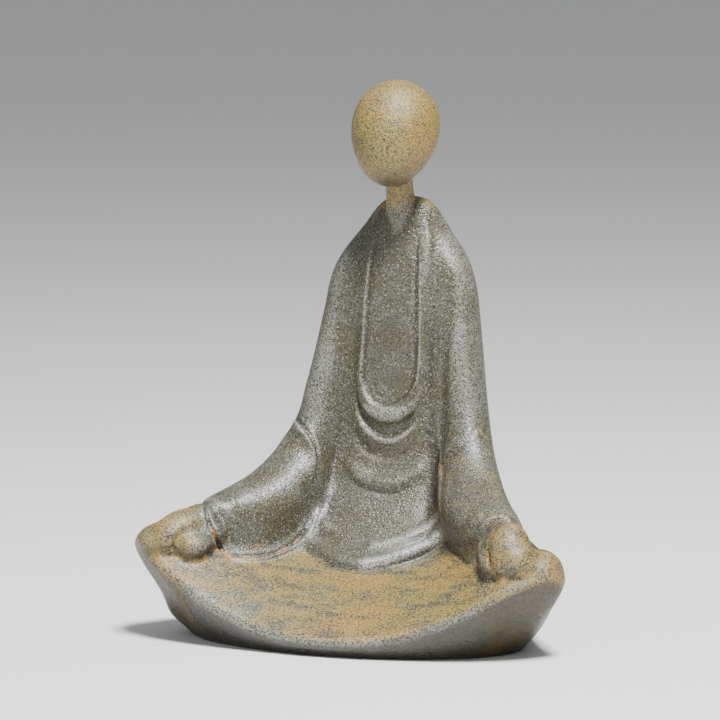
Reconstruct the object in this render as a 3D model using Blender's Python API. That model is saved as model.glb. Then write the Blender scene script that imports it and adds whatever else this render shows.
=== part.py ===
"""A seated buddha figure in one piece of glazed stoneware.

An egg-shaped head with no face stands on a thin neck. A long robe falls from the shoulders, its sleeves
sweep forward and outward to the hands, and the hands lie on raised knees at the ends of a boat-shaped lap.

Metres, +Z up. The figure faces -Y, and its left hand is on the +X side. Forms are laid out as
(across, forward, up), where forward is -Y, in hundred-and-fiftieths of the figure's height.
"""

import math

import bmesh
import bpy
from mathutils import Matrix, Vector
from mathutils.bvhtree import BVHTree

HEIGHT = 0.150
UNIT = HEIGHT / 150  # 1 mm on a figure 150 mm high

# The head is an egg whose chin end comes forward
HEAD_LENGTH = 30.8
HEAD_WIDTH = 24.0
HEAD_TILT = 32.8  # degrees
HEAD_FORWARD = 5.1
HEAD_UP = 135.2
HEAD_TAPER = 0.14  # how much narrower the chin end is than the crown

NECK_RADIUS = 3.9
NECK_FOOT = 104
NECK_INTO_HEAD = 5.2  # how far under the middle of the head the neck ends, inside it

# How finely the masses are fused, and how far their creases are eased
SOFT_VOXEL = 1.1
SOFT_PASSES = 6
FOLD_PASSES = 4
FINE_VOXEL = 0.6
FINE_PASSES = 4
MOST_TRIANGLES = 9400

ROUND_STEPS = 48  # points round a section
SPAN_STEPS = 6  # sections between two given ones


def clear_scene():
    for obj in list(bpy.data.objects):
        bpy.data.objects.remove(obj)


def place(across, forward, up):
    """A point of the layout as metres in the figure's frame."""
    return Vector((across, -forward, up)) * UNIT


def spline(keys, share):
    """The row of numbers at a share from 0 to 1 of the way along a smooth curve through the given rows."""
    spans = len(keys) - 1
    at = min(share * spans, spans - 1e-9)
    i = int(at)
    t = at - i
    before, start, end, after = (keys[max(0, min(spans, i + k))] for k in (-1, 0, 1, 2))
    return [
        0.5 * (2 * b + (c - a) * t + (2 * a - 5 * b + 4 * c - d) * t**2 + (3 * b - a - 3 * c + d) * t**3)
        for a, b, c, d in zip(before, start, end, after)
    ]


def power(value, exponent):
    return math.copysign(abs(value) ** exponent, value)


def skin(name, rings):
    """A closed solid through rings that each have the same number of points."""
    mesh = bmesh.new()
    loops = [[mesh.verts.new(point) for point in ring] for ring in rings]
    for low, high in zip(loops, loops[1:]):
        for i in range(len(low)):
            j = (i + 1) % len(low)
            mesh.faces.new((low[i], low[j], high[j], high[i]))
    mesh.faces.new(reversed(loops[0]))
    mesh.faces.new(loops[-1])
    bmesh.ops.recalc_face_normals(mesh, faces=mesh.faces)
    data = bpy.data.meshes.new(name)
    mesh.to_mesh(data)
    mesh.free()
    obj = bpy.data.objects.new(name, data)
    bpy.context.scene.collection.objects.link(obj)
    return obj


def robe_ring(up, half_width, front, back, middle, squareness):
    """A level section of the robe, which reaches its full width at the middle of its depth."""
    points = []
    for k in range(ROUND_STEPS):
        angle = 2 * math.pi * k / ROUND_STEPS
        across = half_width * power(math.cos(angle), 2 / squareness)
        depth = (front if math.sin(angle) > 0 else back) - middle
        points.append(place(across, middle + depth * abs(math.sin(angle)) ** (2 / squareness), up))
    return points


def robe():
    """The body of the robe: up, half width, front, back, where it is widest, squareness of the section."""
    keys = [
        (-2, 20, 28, -12, -2, 2),
        (8, 24, 33, -15, -2, 2),
        (16, 28, 35, -20, -2, 2.1),
        (20, 30, 33.4, -21, -2, 2.5),
        (24, 29.8, 29.4, -21, -2, 2.8),
        (29, 27.6, 23.8, -20.5, -2, 3.1),
        (34, 24.8, 19.3, -20.5, -2, 3.3),
        (39, 22, 16, -20, -2.5, 3.4),
        (44, 20, 13.6, -20, -2.5, 3.5),
        (50, 18.6, 11.3, -19.5, -3, 3.6),
        (57, 17.8, 9.8, -19.5, -3, 3.5),
        (66, 16.8, 8.8, -19, -3, 3),
        (76, 16.6, 8, -18.5, -3, 2.4),
        (86, 17.4, 7.8, -18, -3, 2.2),
        (94, 18, 6.4, -17.2, -3, 2),
        (100, 17.2, 5, -16.2, -3.5, 2),
        (104, 15.4, 4, -15, -4.5, 2),
        (108.5, 12.7, 2.6, -13.8, -5.8, 2),
        (112.3, 10.2, 1.6, -12.6, -6.4, 2),
        (115.6, 7.5, 0.4, -11.4, -6.6, 2),
        (117.6, 4, -1.5, -9, -6.2, 2),
    ]
    steps = SPAN_STEPS * (len(keys) - 1)
    return skin("robe", [robe_ring(*spline(keys, k / steps)) for k in range(steps + 1)])


def neck():
    top = HEAD_UP - NECK_INTO_HEAD
    rise = (top - NECK_FOOT) / 3
    keys = [
        (NECK_FOOT, -1.5, NECK_RADIUS + 0.7),
        (NECK_FOOT + rise, -0.8, NECK_RADIUS + 0.3),
        (NECK_FOOT + 2 * rise, 0.6, NECK_RADIUS),
        (top, HEAD_FORWARD / 2, NECK_RADIUS),
    ]
    rings = []
    for k in range(SPAN_STEPS * 3 + 1):
        up, forward, radius = spline(keys, k / (SPAN_STEPS * 3))
        rings.append(robe_ring(up, radius, forward + radius, forward - radius, forward, 2))
    return skin("neck", rings)


def limb(name, side, keys, hang=2):
    """A limb of oval section, whose lower half is squarer the more it hangs.

    Each row is across, forward, up, how many degrees the limb is headed out from straight ahead, then its
    reach outward, inward, above and below. Above is the front of a limb that hangs down.
    """
    steps = SPAN_STEPS * (len(keys) - 1)
    rows = [spline(keys, k / steps) for k in range(steps + 1)]
    centres = [place(side * row[0], row[1], row[2]) for row in rows]
    rings = []
    for k, row in enumerate(rows):
        heading = math.radians(row[3])
        out = place(side * math.cos(heading), -math.sin(heading), 0)
        ahead = centres[min(k + 1, steps)] - centres[max(k - 1, 0)]
        above = (ahead.cross(out) * side).normalized() * UNIT
        ring = []
        for i in range(ROUND_STEPS):
            angle = 2 * math.pi * i / ROUND_STEPS
            exponent = 1 if math.sin(angle) > 0 else 2 / hang
            reach = (row[4] if math.cos(angle) > 0 else row[5]) * power(math.cos(angle), exponent)
            height = (row[6] if math.sin(angle) > 0 else row[7]) * power(math.sin(angle), exponent)
            ring.append(centres[k] + out * reach + above * height)
        rings.append(ring)
    return skin(name, rings)


def egg():
    """The head."""
    steps = 32
    half = HEAD_LENGTH / 2
    lean = Matrix.Rotation(math.radians(-HEAD_TILT), 3, "X")
    rings = []
    for k in range(1, steps):
        share = -math.cos(math.pi * k / steps)  # from the chin, -1, to the crown, 1
        radius = HEAD_WIDTH / 2 * math.sqrt(1 - share**2) * (1 + HEAD_TAPER * share)
        ring = []
        for i in range(ROUND_STEPS):
            angle = 2 * math.pi * i / ROUND_STEPS
            offset = lean @ Vector((radius * math.cos(angle), radius * math.sin(angle), half * share))
            ring.append(place(0, HEAD_FORWARD, HEAD_UP) + offset * UNIT)
        rings.append(ring)
    return skin("head", rings)


def lap():
    """The lap: its underside draws in to a smaller foot, and its top rises from the edge to the waist.

    Each row is one direction out from the waist, from straight back round to straight ahead: the edge
    (across, forward, up), the foot (across, forward), where the top ends (across, forward, up), and how
    round the top and the underside are, from 0, straight, to 1, a quarter of an oval.
    """
    keys = [
        (0, -21, 9, 0, -18.5, 0, -16, 24, 0.9, 0.5),
        (16, -18.5, 9.5, 14, -16.5, 11, -13, 24, 0.9, 0.5),
        (28.5, -9, 11.5, 25, -8.5, 19, -4, 24, 0.9, 0.5),
        (38.5, 5, 14.5, 33, 3, 26, 6, 25, 0.9, 0.6),
        (47, 20, 19, 40, 13, 33, 16, 27, 0.9, 0.7),
        (54, 32.4, 22.8, 44.2, 25, 39, 25, 29.3, 0.9, 0.6),
        (59, 41, 24.5, 45.4, 33, 43, 31, 31, 0.9, 0.6),
        (60.9, 47.2, 24.8, 44.8, 39.5, 45, 36, 31, 0.9, 0.4),
        (57.8, 52.4, 23.8, 43, 43.6, 45, 39.5, 30, 0.85, 0.1),
        (53, 55.6, 21.7, 40.2, 46.6, 42, 42, 28, 0.75, 0),
        (48, 57.8, 18.9, 37, 49.6, 38, 42.5, 25, 0.6, 0.1),
        (36, 60.2, 12.5, 29, 53.6, 28, 36.5, 22, 0.35, 0.2),
        (22, 61.8, 7, 19, 56.8, 18, 31, 21.6, 0.25, 0.3),
        (10, 63.2, 4.6, 9, 58.4, 8, 33.3, 19.8, 0.2, 0.3),
        (0, 63.6, 4.2, 0, 58.7, 0, 34, 19.2, 0.2, 0.3),
    ]
    loop = keys + [
        (-edge, b, c, -foot, e, -top, *rest) for edge, b, c, foot, e, top, *rest in reversed(keys[1:-1])
    ]
    loop.append(keys[0])
    steps = 8 * (len(loop) - 1)
    rows = [spline(loop, k / steps) for k in range(steps)]
    rings = [[place(row[3], row[4], -2) for row in rows]]
    for turn in range(9):
        angle = turn * math.pi / 16
        ring = []
        for row in rows:
            away = row[9] * math.sin(angle) + (1 - row[9]) * turn / 8
            rise = row[9] * (1 - math.cos(angle)) + (1 - row[9]) * turn / 8
            ring.append(place(
                row[3] + (row[0] - row[3]) * away,
                row[4] + (row[1] - row[4]) * away,
                row[2] * rise,
            ))
        rings.append(ring)
    for turn in range(1, 9):
        angle = turn * math.pi / 16
        ring = []
        for row in rows:
            inward = row[8] * (1 - math.cos(angle)) + (1 - row[8]) * turn / 8
            rise = row[8] * math.sin(angle) + (1 - row[8]) * turn / 8
            ring.append(place(
                row[0] + (row[5] - row[0]) * inward,
                row[1] + (row[6] - row[1]) * inward,
                row[2] + (row[7] - row[2]) * rise,
            ))
        rings.append(ring)
    for share in (0.8, 0.5, 0.2):
        rings.append([
            place(row[5] * share, 6 + (row[6] - 6) * share, 31 + (row[7] - 31) * share) for row in rows
        ])
    return skin("lap", rings)


def arm(side):
    """The sleeve, from the shoulder down and forward to the cuff, draped to the lap under the forearm."""
    return limb("arm", side, [
        (9.8, -5, 108, 8, 3.5, 3.5, 3.5, 3.5),
        (12, -4.2, 101, 8, 6.2, 6, 6, 6),
        (14.8, -2.6, 94, 8, 6.2, 6, 6.5, 6.5),
        (16.3, -1.8, 86, 8, 6, 5.8, 7, 7),
        (17.9, 0.1, 76, 10, 6, 5.8, 7.4, 8),
        (19.4, 2.5, 66, 12, 6.2, 6, 7.6, 9),
        (21.5, 5.8, 57, 16, 6.2, 6.6, 7, 10),
        (24, 9.8, 49, 20, 6.2, 8, 7.2, 11),
        (27.4, 15, 42, 24, 6.2, 10.8, 7.4, 13.5),
        (31.4, 21.5, 37, 28, 6.2, 12.4, 7.2, 15),
        (35.8, 28.4, 33.8, 30, 6, 11.2, 7, 13.5),
        (39.4, 33.8, 32, 32, 6, 9, 6.8, 11),
        (41.8, 37.6, 30.2, 32, 5.8, 7.4, 6.6, 9.4),
    ], hang=2.5)


def hand(side):
    """The back of the hand, rounded over into the fingers."""
    return limb("hand", side, [
        (40.5, 37.2, 31.6, 32, 3.6, 3.6, 3.6, 5),
        (43.2, 41.4, 30.8, 32, 5, 5, 4.8, 6.4),
        (46.8, 46.8, 29, 32, 5.7, 5.6, 5.6, 6.6),
        (49.8, 51.2, 26.6, 32, 5.1, 5, 4.8, 5),
        (51.4, 53.6, 25.2, 32, 2.8, 2.8, 2.6, 2.6),
    ])


def knee(side):
    """The round top of the knee, beyond the hand."""
    return limb("knee", side, [
        (40, 31, 21, 52, 6, 6, 7, 8),
        (47, 38, 22.8, 52, 7.5, 8.4, 7.6, 8),
        (53.2, 43, 23.5, 52, 6.6, 9, 6.8, 8),
        (58.2, 46.4, 24.2, 52, 3.8, 5, 4.6, 5),
    ])


def thumb(side):
    return limb("thumb", side, [
        (37.6, 40, 29.8, 20, 2.2, 2.2, 2.4, 3.6),
        (39.4, 44.6, 28.2, 20, 2.7, 2.7, 2.8, 4),
        (41.6, 49.4, 25.8, 20, 2.7, 2.7, 2.7, 3.4),
        (42.8, 52.2, 24, 20, 1.6, 1.6, 1.8, 1.8),
    ])


def cord(name, ground, points):
    """A round cord laid along a surface, to make one raised fold of the robe.

    Each row is across, forward, up, the cord's radius, and how far it stands out of the surface.
    """
    surface = BVHTree.FromObject(ground, bpy.context.evaluated_depsgraph_get())
    curve = bpy.data.curves.new(name, "CURVE")
    curve.dimensions = "3D"
    curve.bevel_depth = UNIT
    curve.bevel_resolution = 3
    curve.use_fill_caps = True
    steps = SPAN_STEPS * (len(points) - 1)
    line = curve.splines.new("POLY")
    line.points.add(steps)
    for k in range(steps + 1):
        across, forward, up, thickness, height = spline(points, k / steps)
        spot, normal, _, _ = surface.find_nearest(place(across, forward, up))
        line.points[k].co = (*(spot + normal * (height - thickness) * UNIT), 1)
        line.points[k].radius = thickness
    obj = bpy.data.objects.new(name, curve)
    bpy.context.scene.collection.objects.link(obj)
    data = bpy.data.meshes.new_from_object(obj.evaluated_get(bpy.context.evaluated_depsgraph_get()))
    bpy.data.objects.remove(obj)
    made = bpy.data.objects.new(name, data)
    bpy.context.scene.collection.objects.link(made)
    return made


def mirrored(points):
    return [(-row[0], *row[1:]) for row in points]


def both_sides(points):
    """The given half of a line of folds, from one end to the middle, and its mirror image."""
    return points + mirrored(reversed(points[:-1]))


def soft_folds(ground):
    """The two shallow folds across the front under the collar, and the fold round each elbow."""
    upper = [
        (10.4, 7.5, 64.5, 1.2, -0.4),
        (9.4, 8.8, 59.6, 1.6, 0.5),
        (7.4, 9.8, 54.8, 2, 1),
        (4.2, 10.5, 51.8, 2.4, 1.3),
        (0, 10.8, 50.9, 2.4, 1.4),
    ]
    lower = [
        (13.2, 8, 50, 1, -0.8),
        (10, 11.6, 43.6, 2, 0.8),
        (5.4, 13.8, 40, 2.4, 1.4),
        (0, 14.3, 39.2, 2.4, 1.6),
    ]
    elbow = [
        (25.6, 9.8, 54.6, 1, 0),
        (22.6, 12.4, 50.6, 1.4, 0.8),
        (19.2, 15.6, 45.4, 1.5, 0.9),
        (18, 18.2, 39, 1.5, 0.8),
        (17.8, 21.6, 32, 1.1, 0.1),
    ]
    lines = (both_sides(upper), both_sides(lower), elbow, mirrored(elbow))
    return [cord("soft_fold", ground, line) for line in lines]


def firm_folds(ground):
    """The long collar, which turns up in a round loop over the chest, and the two-ridged border of the hem."""
    collar = [
        (6.4, 3, 106, 0.5, 0.2),
        (6.9, 5, 100, 0.7, 0.3),
        (7.2, 6.8, 92, 0.8, 0.4),
        (7.7, 7.6, 83, 0.9, 0.5),
        (8.5, 8, 74, 1.3, 0.8),
        (8.4, 8, 67, 1.6, 1.1),
        (6.5, 8.6, 61.2, 2.3, 1.9),
        (3.4, 8.8, 58.8, 2.8, 2.4),
        (0, 8.9, 58.1, 2.9, 2.6),
    ]
    under = [
        (8.6, 7, 62.5, 1.6, -0.6),
        (6, 8.8, 57.6, 2.3, 0.2),
        (3, 9.2, 55.8, 2.6, 0.8),
        (0, 9.3, 55.4, 2.6, 1),
    ]
    hem = [
        (22.8, 19, 30, 1, 0.3),
        (20.6, 22, 28, 1.6, 1),
        (17.4, 25.6, 25, 2, 1.4),
        (9.8, 30.4, 21.6, 2.2, 1.6),
        (0, 32.4, 20.2, 2.2, 1.6),
    ]
    ridge = [
        (20.8, 15, 37, 1.2, 0),
        (18, 20, 32.8, 1.5, 0.9),
        (10.4, 26, 28, 1.5, 0.7),
        (0, 28.2, 25.6, 1.2, 0.1),
    ]
    return [cord("firm_fold", ground, both_sides(line)) for line in (collar, under, hem, ridge)]


def gather(name, objects):
    """The closed shapes as one object, not yet one surface."""
    joined = bmesh.new()
    for obj in objects:
        joined.from_mesh(obj.data)
        bpy.data.objects.remove(obj)
    data = bpy.data.meshes.new(name)
    joined.to_mesh(data)
    joined.free()
    obj = bpy.data.objects.new(name, data)
    bpy.context.scene.collection.objects.link(obj)
    return obj


def settle(obj):
    """Replaces the object's mesh with the one that its modifiers make."""
    graph = bpy.context.evaluated_depsgraph_get()
    made = bpy.data.meshes.new_from_object(obj.evaluated_get(graph))
    obj.modifiers.clear()
    obj.data = made


def fuse(name, objects, voxel, passes):
    """One surface round all the shapes, with the creases between them eased."""
    obj = gather(name, objects)
    remesh = obj.modifiers.new("one skin", "REMESH")
    remesh.mode = "VOXEL"
    remesh.voxel_size = voxel * UNIT
    ease = obj.modifiers.new("ease", "SMOOTH")
    ease.factor = 0.5
    ease.iterations = passes
    settle(obj)
    return obj


def cut_flat(obj):
    """Cuts the figure off level at the ground and closes its underside."""
    mesh = bmesh.new()
    mesh.from_mesh(obj.data)
    geometry = mesh.verts[:] + mesh.edges[:] + mesh.faces[:]
    bmesh.ops.bisect_plane(mesh, geom=geometry, plane_co=(0, 0, 0), plane_no=(0, 0, -1), clear_outer=True)
    rim = [edge for edge in mesh.edges if edge.is_boundary]
    bmesh.ops.edgeloop_fill(mesh, edges=rim)
    bmesh.ops.triangulate(mesh, faces=mesh.faces)
    mesh.to_mesh(obj.data)
    mesh.free()


def stand_true(obj):
    """Sets the figure to its stated height, standing on the ground with its plan centred on the origin."""
    corners = [Vector(corner) for corner in obj.bound_box]
    low = Vector([min(corner[axis] for corner in corners) for axis in range(3)])
    high = Vector([max(corner[axis] for corner in corners) for axis in range(3)])
    foot = Vector(((low.x + high.x) / 2, (low.y + high.y) / 2, low.z))
    obj.data.transform(Matrix.Scale(HEIGHT / (high.z - low.z), 4) @ Matrix.Translation(-foot))


def finish(obj):
    glaze = bpy.data.materials.new("glazed_stoneware")
    glaze.use_nodes = True
    shader = glaze.node_tree.nodes["Principled BSDF"]
    shader.inputs["Base Color"].default_value = (0.30, 0.27, 0.20, 1)
    shader.inputs["Roughness"].default_value = 0.42
    shader.inputs["Metallic"].default_value = 0.0
    obj.data.materials.clear()
    obj.data.materials.append(glaze)


def thin_out(obj):
    """Fewer triangles, most of them left where the form turns."""
    thin = obj.modifiers.new("thin out", "DECIMATE")
    thin.ratio = min(1, MOST_TRIANGLES / (2 * len(obj.data.polygons)))
    settle(obj)


def main():
    clear_scene()
    sides = (1, -1)
    masses = [robe(), lap(), *[make(side) for make in (arm, knee) for side in sides]]
    mass = fuse("mass", masses, SOFT_VOXEL, SOFT_PASSES)
    mass = fuse("mass", [mass, *soft_folds(mass)], SOFT_VOXEL, FOLD_PASSES)
    parts = [make(side) for make in (hand, thumb) for side in sides]
    figure = fuse("seated_figure", [mass, neck(), egg(), *parts, *firm_folds(mass)], FINE_VOXEL, FINE_PASSES)
    thin_out(figure)
    cut_flat(figure)
    stand_true(figure)
    finish(figure)


main()
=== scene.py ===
import math

import bpy
import numpy as np
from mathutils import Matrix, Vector


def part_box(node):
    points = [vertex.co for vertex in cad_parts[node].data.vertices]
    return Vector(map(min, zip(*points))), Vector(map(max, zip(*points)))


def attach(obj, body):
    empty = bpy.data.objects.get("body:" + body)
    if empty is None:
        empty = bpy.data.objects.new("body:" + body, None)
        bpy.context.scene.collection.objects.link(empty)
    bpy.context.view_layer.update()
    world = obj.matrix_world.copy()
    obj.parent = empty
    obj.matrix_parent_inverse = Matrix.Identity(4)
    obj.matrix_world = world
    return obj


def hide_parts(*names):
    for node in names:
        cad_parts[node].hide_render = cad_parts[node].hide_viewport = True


# A seated buddha figure in one piece of glazed stoneware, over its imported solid.
# Metres, +Z up. The figure faces -Y, and its left hand is on the +X side.
# Forms are laid out as (across, forward, up) in hundred-and-fiftieths of the figure's height,
# measured from the axis of its neck, where forward is -Y.

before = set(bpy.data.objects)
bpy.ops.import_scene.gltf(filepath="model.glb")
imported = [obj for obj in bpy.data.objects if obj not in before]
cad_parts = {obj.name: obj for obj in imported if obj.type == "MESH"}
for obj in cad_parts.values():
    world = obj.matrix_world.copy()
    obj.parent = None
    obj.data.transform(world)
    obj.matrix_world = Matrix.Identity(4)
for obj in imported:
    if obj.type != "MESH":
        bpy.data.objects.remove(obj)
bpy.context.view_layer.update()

FOOT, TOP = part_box("seated_figure")
UNIT = (TOP.z - FOOT.z) / 150  # 1 mm on a figure 150 mm high
NECK_Y = 20.8 * UNIT  # the axis of the neck lies behind the middle of the plan

# How finely the skin is made, and how far its facets are rounded away
SKIN_VOXEL = 0.84 * UNIT
ROUNDING_PASSES = 11


# ---------------------------------------------------------------- numbers and places

def place(across, forward, up):
    """A point of the layout as metres in the figure's frame."""
    return Vector((across * UNIT, NECK_Y - forward * UNIT, up * UNIT))


def layout(points):
    """Points in metres as rows of (across, forward, up)."""
    return np.stack([points[:, 0], NECK_Y - points[:, 1], points[:, 2]], 1) / UNIT


def metres(rows):
    """Rows of (across, forward, up) as points in metres."""
    return np.stack([rows[:, 0] * UNIT, NECK_Y - rows[:, 1] * UNIT, rows[:, 2] * UNIT], 1)


def ramp(value, low, high):
    """0 below low and 1 above high, with a smooth rise between them."""
    share = np.clip((value - low) / (high - low), 0, 1)
    return share * share * (3 - 2 * share)


def curve_rows(keys, step=0.4):
    """Rows of numbers about step apart on a smooth curve through the given rows."""
    keys = np.array(keys, float)
    ends = np.vstack([2 * keys[0] - keys[1], keys, 2 * keys[-1] - keys[-2]])
    rows = []
    for i in range(1, len(ends) - 2):
        a, b, c, d = ends[i - 1:i + 3]
        count = max(2, int(np.linalg.norm((c - b)[:3]) / step))
        t = np.linspace(0, 1, count, endpoint=False)[:, None]
        rows.append(0.5 * (2 * b + (c - a) * t + (2 * a - 5 * b + 4 * c - d) * t**2
                           + (3 * b - a - 3 * c + d) * t**3))
    return np.vstack(rows + [keys[-1:]])


# ---------------------------------------------------------------- the skin and its modelling

def pick(obj):
    """Leaves only this object selected, and active."""
    bpy.ops.object.select_all(action="DESELECT")
    obj.select_set(True)
    bpy.context.view_layer.objects.active = obj


def apply_modifier(obj, kind, **settings):
    pick(obj)
    made = obj.modifiers.new(kind.lower(), kind)
    for name, value in settings.items():
        setattr(made, name, value)
    bpy.ops.object.modifier_apply(modifier=made.name)


def points_of(obj):
    points = np.empty(len(obj.data.vertices) * 3)
    obj.data.vertices.foreach_get("co", points)
    return points.reshape(-1, 3)


def normals_of(obj):
    normals = np.empty(len(obj.data.vertices) * 3, np.float32)
    obj.data.vertex_normals.foreach_get("vector", normals)
    return normals.reshape(-1, 3).astype(float)


def set_points(obj, points):
    obj.data.vertices.foreach_set("co", points.astype(np.float32).ravel())
    obj.data.update()


def edges_of(obj):
    edges = np.empty(len(obj.data.edges) * 2, np.int32)
    obj.data.edges.foreach_get("vertices", edges)
    return edges.reshape(-1, 2)


def neighbour_mean(values, edges):
    """For each vertex, the mean of the values at the vertices that it is joined to."""
    count = len(values)
    a, b = edges.T
    degree = np.bincount(a, minlength=count) + np.bincount(b, minlength=count)
    columns = [
        np.bincount(a, weights=column[b], minlength=count)
        + np.bincount(b, weights=column[a], minlength=count)
        for column in values.reshape(count, -1).T
    ]
    return (np.stack(columns, 1) / degree[:, None]).reshape(values.shape)


def round_off(obj, passes, where=None, keep_size=True):
    """Eases the skin. Unless told otherwise, each pass swells it again, so that it keeps its size."""
    points, edges = points_of(obj), edges_of(obj)
    share = 1 if where is None else where[:, None]
    for _ in range(passes):
        points = points + 0.6 * share * (neighbour_mean(points, edges) - points)
        if keep_size:
            points = points - 0.62 * share * (neighbour_mean(points, edges) - points)
    set_points(obj, points)


# Rounded forms that fill out the hands and the knees: centre, half sizes, lean back in degrees
SWELLINGS = [
    ((-52.2, 48.8, 25.7), (6.4, 6.6, 4.7), 0),  # the right hand's fingers over the knee
    ((-43.0, 49.6, 25.7), (4.6, 3.7, 3.9), 0),  # its thumb
    ((46.6, 48.4, 28.9), (5.6, 5.2, 8.3), 35),  # the left hand
    ((40.6, 47.2, 27.0), (1.8, 3.0, 6.6), 25),  # its thumb
    ((55.3, 45.3, 24.6), (4.9, 6.5, 5.2), 0),  # the left knee
]


def swell(skin, centre, radii, lean):
    """Adds a rounded lump, which the remeshing joins to the rest."""
    bpy.ops.object.select_all(action="DESELECT")
    bpy.ops.mesh.primitive_uv_sphere_add(segments=32, ring_count=16, radius=UNIT, location=place(*centre))
    lump = bpy.context.object
    lump.scale = radii
    lump.rotation_euler.x = -math.radians(lean)
    bpy.ops.object.transform_apply(location=True, rotation=True, scale=True)
    skin.select_set(True)
    bpy.context.view_layer.objects.active = skin
    bpy.ops.object.join()


def take_form():
    """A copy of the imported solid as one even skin, with its facets rounded away."""
    skin = bpy.data.objects.new("stoneware_figure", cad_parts["seated_figure"].data.copy())
    bpy.context.scene.collection.objects.link(skin)
    pick(skin)
    bpy.ops.object.mode_set(mode="EDIT")
    bpy.ops.mesh.select_all(action="SELECT")
    bpy.ops.mesh.remove_doubles(threshold=0.001 * UNIT)
    bpy.ops.mesh.subdivide(number_cuts=2, smoothness=1)
    bpy.ops.object.mode_set(mode="OBJECT")
    for centre, radii, lean in SWELLINGS:
        swell(skin, centre, radii, lean)
    apply_modifier(skin, "REMESH", mode="VOXEL", voxel_size=SKIN_VOXEL)
    round_off(skin, ROUNDING_PASSES)
    return skin


def level_knees(skin):
    """The figure's right knee sits a little higher than its left, and the boat of the lap leans with them."""
    rows = layout(points_of(skin))
    across, forward, up = rows.T
    outer = ramp(forward, 10, 30)
    right = ramp(-across, 45, 57) * outer
    left = ramp(across, 45, 54) * outer
    high, low = ramp(up, 3, 16), 1 - ramp(up, 5, 14)
    rows[:, 2] = up + high * (1.3 * right - 0.85 * left)
    rows[:, 0] = across - low * (0.9 * ramp(-across, 30, 44) + 0.45 * ramp(across, 30, 44)) * outer
    set_points(skin, metres(rows))


# ---------------------------------------------------------------- carving

LINE_PASSES = 12  # how often a line, and the way it faces, is smoothed
LIP_REACH, RIDGE_REACH = 5, 3  # how many half widths a mark reaches to each side of its line


class Line:
    """A smooth line laid on the skin, with how far each point of the skin lies from it.

    Each key is across, forward, up, then the half width of the mark and its height there.
    """

    def __init__(self, skin, keys, reach):
        rows = curve_rows(keys)
        self.points, self.normals = layout(points_of(skin)), normals_of(skin) * (1, -1, 1)
        line, widths, heights = rows[:, :3], rows[:, 3], rows[:, 4]
        far = reach * widths.max() + 3
        box = ((self.points > line.min(0) - far) & (self.points < line.max(0) + far)).all(1)
        self.near = np.flatnonzero(box)
        near, facing = self.points[self.near], self.normals[self.near]
        on_skin = self.distances(line, near).argmin(1)
        normals = facing[on_skin]
        for _ in range(LINE_PASSES):
            normals[1:-1] = (normals[:-2] + normals[1:-1] + normals[2:]) / 3
        normals /= np.linalg.norm(normals, axis=1)[:, None]
        line = line + normals * ((near[on_skin] - line) * normals).sum(1)[:, None]
        for _ in range(LINE_PASSES):
            line[1:-1] = (line[:-2] + line[1:-1] + line[2:]) / 3
        along = np.gradient(line, axis=0)
        along /= np.linalg.norm(along, axis=1)[:, None]
        side = np.cross(normals, along)
        nearest = self.distances(near, line).argmin(1)
        offset = near - line[nearest]
        self.width, self.height = widths[nearest], heights[nearest]
        self.aside = (offset * side[nearest]).sum(1) / self.width
        beyond = np.abs((offset * along[nearest]).sum(1)) / self.width
        depth = np.abs((offset * normals[nearest]).sum(1)) / self.width
        agree = (facing * normals[nearest]).sum(1)
        self.share = ramp(agree, -0.1, 0.4) * (1 - ramp(depth, reach, reach + 1))
        self.share *= 1 - ramp(beyond, 0.6, 1.6)
        self.facing = facing

    @staticmethod
    def distances(a, b):
        return (a * a).sum(1)[:, None] + (b * b).sum(1)[None] - 2 * a @ b.T


def ridge(aside):
    return np.exp(-1.5 * aside**2)


def lip(aside):
    """A step up to the right of the line, which dies away behind its edge."""
    return ramp(aside, -0.8, 0.8) * np.exp(-0.12 * np.maximum(aside, 0)**2)


def carve(skin, shape, keys):
    """Presses a mark into the skin along a line, or raises one where its heights are above 0."""
    line = Line(skin, keys, LIP_REACH if shape is lip else RIDGE_REACH)
    points = line.points
    points[line.near] += line.facing * (line.height * shape(line.aside) * line.share)[:, None]
    set_points(skin, metres(points))


def refine(skin, strokes, reach=1.7):
    """Halves the facets that lie along the marks, so that the marks come out crisp."""
    points = layout(points_of(skin))
    chosen = np.zeros(len(points), bool)
    for _, keys in strokes:
        for row in curve_rows(keys, 1.0):
            chosen |= ((points - row[:3])**2).sum(1) < (reach + row[3])**2
    pick(skin)
    bpy.ops.object.mode_set(mode="EDIT")
    bpy.ops.mesh.select_mode(type="VERT")
    bpy.ops.mesh.select_all(action="DESELECT")
    bpy.ops.object.mode_set(mode="OBJECT")
    skin.data.vertices.foreach_set("select", chosen)
    bpy.ops.object.mode_set(mode="EDIT")
    bpy.ops.mesh.select_mode(type="VERT")
    bpy.ops.mesh.subdivide(number_cuts=1, smoothness=0)
    bpy.ops.object.mode_set(mode="OBJECT")
    round_off(skin, 3)


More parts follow.
